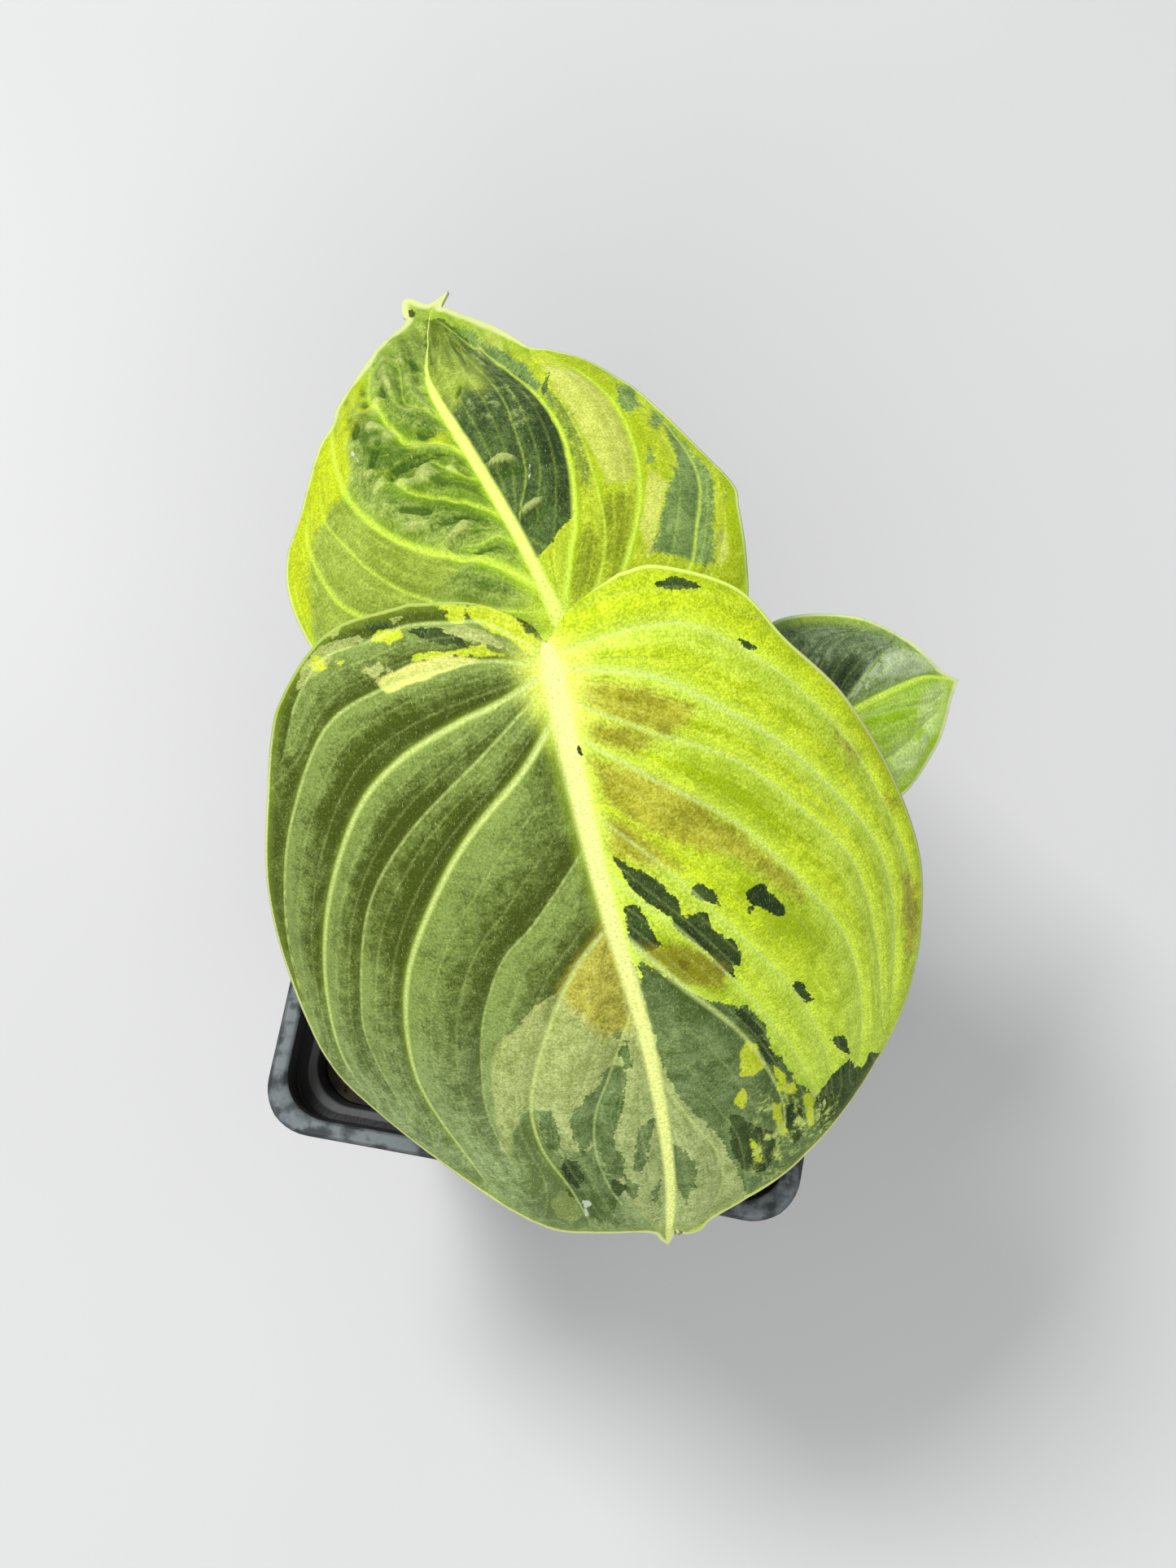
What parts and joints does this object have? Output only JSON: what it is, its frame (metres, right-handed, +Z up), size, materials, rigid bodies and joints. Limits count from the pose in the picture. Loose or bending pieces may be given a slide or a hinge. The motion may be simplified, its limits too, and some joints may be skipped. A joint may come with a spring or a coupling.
{
  "type": "potted philodendron melanochrysum",
  "caption": "Young variegated philodendron melanochrysum with heart-shaped velvet leaves on slender stalks, rooted in a square tapered black nursery pot.",
  "frame": {"origin": "middle of the pot's flat base, on the surface it stands on", "axes": "+Z up; X and Y run along the pot's sides; the largest leaf points towards -Y and a little to +X"},
  "size_m": [0.1064, 0.1449, 0.175],
  "materials": {
    "pot_plastic": "satin black moulded plastic, dusty and lightly scuffed",
    "growing_mix": "damp dark bark, coir and grit mix, matt",
    "cane": "green woody stem, smooth and semi-matt",
    "stalk": "pale green leaf stalk, satin with fine pale flecks",
    "papery_sheath": "pale papery leaf sheath, matt",
    "lime_leaf": "velvety leaf, half lime and half olive, with pale veins",
    "mottled_leaf": "velvety leaf mottled in lime, khaki and dark green, with pale veins",
    "young_leaf": "soft young leaf, dark green behind and light green in front"
  },
  "bodies": {
    "root": {"pot": "pot_plastic", "soil": "growing_mix", "stem": "cane", "petiole_front": "stalk", "petiole_back": "stalk", "petiole_side": "stalk", "sheath": "papery_sheath", "blade_front": "lime_leaf", "blade_back": "mottled_leaf", "blade_side": "young_leaf"}
  },
  "joints": []
}
